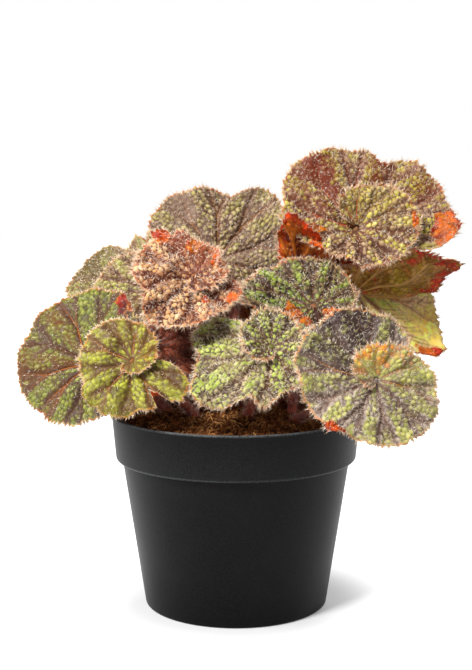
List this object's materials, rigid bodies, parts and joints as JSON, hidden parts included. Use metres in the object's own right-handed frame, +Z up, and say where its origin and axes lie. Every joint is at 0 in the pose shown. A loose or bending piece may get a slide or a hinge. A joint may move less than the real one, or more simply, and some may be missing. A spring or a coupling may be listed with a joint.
{
  "type": "potted begonia",
  "caption": "Rhizomatous begonia in a round tapered nursery pot with a deep collar; coiled, puckered, hairy leaves on stalks that rise from a creeping stem in potting mix.",
  "frame": {"origin": "middle of the pot's foot, on the surface that the pot stands on", "axes": "+Z up along the pot's axis; the front of the plant, the side with its largest open leaves, looks along -Y"},
  "size_m": [0.2104, 0.1645, 0.2213],
  "materials": {
    "pot_plastic": "black moulded plastic, satin, with a faint grain",
    "potting_mix": "matte brown coir and peat fibre",
    "stalk_skin": "red-brown hairy stalk skin, soft sheen",
    "leaf_blade": "puckered olive and lime leaf with a purple-brown net and white hairs",
    "young_leaf": "puckered pink and orange young leaf with dense white hairs",
    "leaf_underside": "orange-red leaf underside with raised veins"
  },
  "bodies": {
    "root": {"pot": "pot_plastic", "soil": "potting_mix", "rhizome": "stalk_skin", "stalk_far_left": "stalk_skin", "stalk_front_left": "stalk_skin", "stalk_back_left": "stalk_skin", "stalk_young_pink": "stalk_skin", "stalk_back_fan": "stalk_skin", "stalk_top_right": "stalk_skin", "stalk_red_left": "stalk_skin", "stalk_red_right": "stalk_skin", "stalk_right_olive": "stalk_skin", "stalk_middle_green": "stalk_skin", "stalk_front_middle": "stalk_skin", "stalk_front_right": "stalk_skin", "stalk_left_shade": "stalk_skin", "stalk_rear_left": "stalk_skin", "stalk_rear_middle": "stalk_skin", "stalk_rear_right": "stalk_skin", "stalk_side_left": "stalk_skin", "stalk_side_right": "stalk_skin", "stalk_low_rear": "stalk_skin", "leaf_far_left": "leaf_blade", "leaf_front_left": "leaf_blade", "leaf_back_left": "leaf_blade", "leaf_young_pink": "young_leaf", "leaf_back_fan": "leaf_blade", "leaf_top_right": "leaf_blade", "leaf_red_left": "leaf_underside", "leaf_red_right": "leaf_underside", "leaf_right_olive": "leaf_blade", "leaf_middle_green": "leaf_blade", "leaf_front_middle": "leaf_blade", "leaf_front_right": "leaf_blade", "leaf_left_shade": "leaf_blade", "leaf_rear_left": "leaf_blade", "leaf_rear_middle": "leaf_blade", "leaf_rear_right": "leaf_blade", "leaf_side_left": "leaf_blade", "leaf_side_right": "leaf_blade", "leaf_low_rear": "leaf_blade"}
  },
  "joints": []
}
